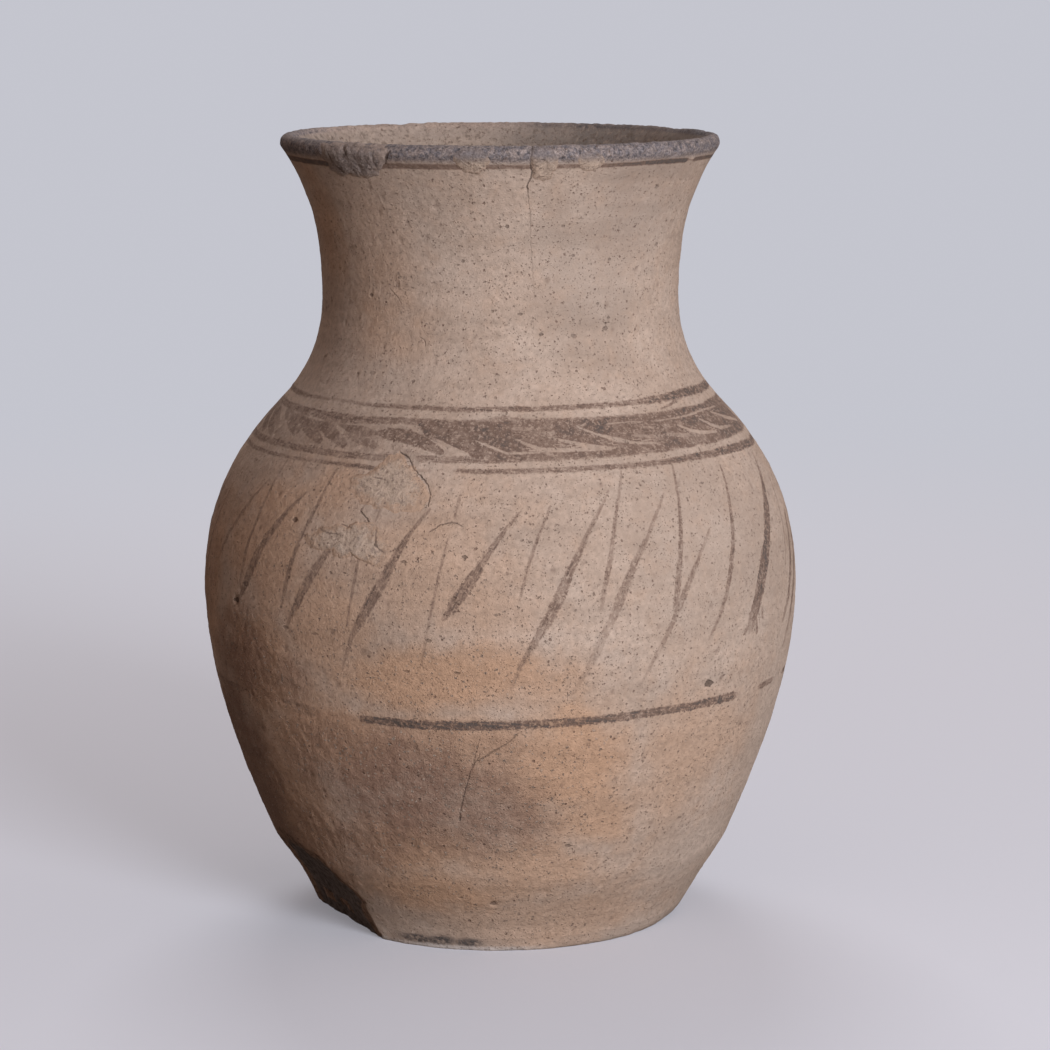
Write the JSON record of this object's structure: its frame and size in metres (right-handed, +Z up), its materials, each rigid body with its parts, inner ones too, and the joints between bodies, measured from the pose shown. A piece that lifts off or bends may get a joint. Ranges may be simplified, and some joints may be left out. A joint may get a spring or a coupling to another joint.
{
  "type": "clay pot",
  "caption": "Free-standing earthenware pot with a flat foot, an egg-shaped hollow body, a waisted neck and a flared open mouth with a rolled lip.",
  "frame": {"origin": "centre of the flat foot, on the surface that the pot stands on", "axes": "+Z up the pot's axis to the mouth; -Y is the front, with the crusts to its left and the neck's hairline crack just right of it; the chip in the foot faces -X and -Y"},
  "size_m": [0.2282, 0.2282, 0.3],
  "materials": {
    "buff_clay": "matt fired buff earthenware with brown brush painting, grit and pits",
    "foot_clay": "matt fired earthenware, worn and scuffed grey",
    "rim_clay": "matt fired earthenware, stained grey brown",
    "lime_crust": "rough grey lime crust"
  },
  "bodies": {
    "root": {"base_disc": "foot_clay", "lower_body": "buff_clay", "belly": "buff_clay", "shoulder": "buff_clay", "neck": "buff_clay", "rim": "rim_clay", "shoulder_crust_upper": "lime_crust", "shoulder_crust_lower": "lime_crust", "rim_crust_left": "lime_crust", "rim_crust_centre": "lime_crust", "rim_crust_crack": "lime_crust", "rim_crust_right": "lime_crust"}
  },
  "joints": []
}
